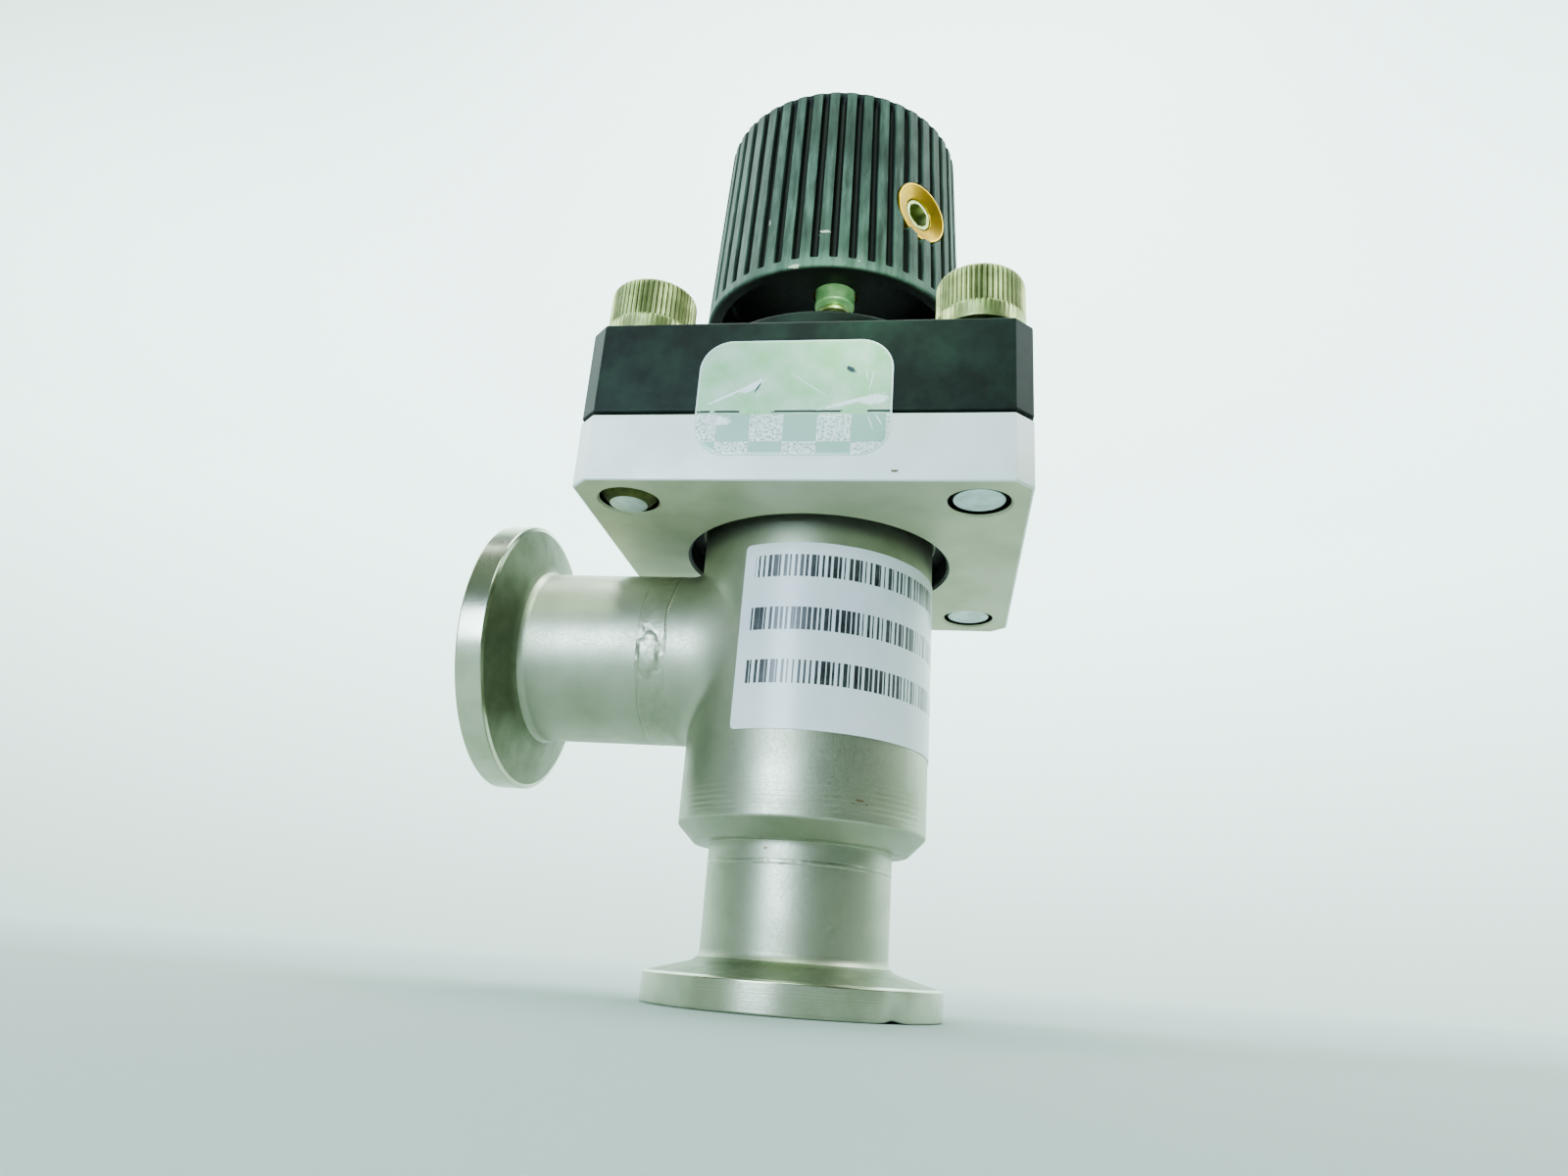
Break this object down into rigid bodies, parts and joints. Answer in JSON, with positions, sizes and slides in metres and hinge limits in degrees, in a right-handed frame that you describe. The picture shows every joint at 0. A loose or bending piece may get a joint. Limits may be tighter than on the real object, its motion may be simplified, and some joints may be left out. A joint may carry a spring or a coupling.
{
  "type": "right-angle manual vacuum valve",
  "caption": "Right-angle manual vacuum valve with small flange ports, a bellows-sealed poppet, a square clamped bonnet and a fluted knob.",
  "frame": {"origin": "centre of the footprint (the bounding box in plan), in the plane of the lower port's sealing face; the valve's own axis stands 6.15 mm from it towards +X", "axes": "+Z along the stem from the lower port to the knob; -X out of the side port; -Y is the front, which carries the labels"},
  "size_m": [0.0574, 0.0451, 0.1029],
  "materials": {
    "stainless": "fine bead-blasted stainless steel",
    "bellows_steel": "thin bright stainless steel",
    "fastener_steel": "plain stainless screw steel",
    "aluminium": "satin aluminium",
    "anodised": "black anodised aluminium",
    "phenolic": "worn black phenolic",
    "brass": "turned brass",
    "bronze": "plain bearing bronze",
    "seal_rubber": "black seal rubber",
    "label_paper": "white printed label",
    "label_foil": "scuffed silver foil label"
  },
  "bodies": {
    "housing": {"valve_body": "stainless", "bottom_port_stub": "stainless", "side_port_stub": "stainless", "bottom_weld": "stainless", "side_weld": "stainless", "clamp_plate": "aluminium", "bonnet": "anodised", "bellows_flange": "stainless", "bonnet_o_ring": "seal_rubber", "bellows": "bellows_steel", "stem_bushing": "bronze", "cap_screw_front_left": "fastener_steel", "cap_screw_front_right": "fastener_steel", "cap_screw_rear_left": "fastener_steel", "cap_screw_rear_right": "fastener_steel", "body_label": "label_paper", "seal_label": "label_foil"},
    "poppet_assembly": {"poppet_disc": "stainless", "poppet_o_ring": "seal_rubber", "poppet_retainer": "stainless", "poppet_screw": "fastener_steel", "poppet_shaft": "stainless", "thrust_washer": "bronze"},
    "knob_assembly": {"stem": "fastener_steel", "knob": "phenolic", "knob_insert": "brass", "set_screw": "fastener_steel"}
  },
  "joints": [
    {"name": "poppet_lift", "type": "slide", "parent": "housing", "child": "poppet_assembly", "axis": [0, 0, 1], "range_m": [-0.0052, 0], "deforming": ["bellows"]},
    {"name": "knob_turn", "type": "hinge", "parent": "poppet_assembly", "child": "knob_assembly", "pos_m": [0.00615, 0, 0.09], "axis": [0, 0, 1], "range_deg": [-2340, 0]}
  ],
  "couplings": [
    {"joint": "knob_turn", "follows": "poppet_lift", "rad_per_m": 7854}
  ]
}
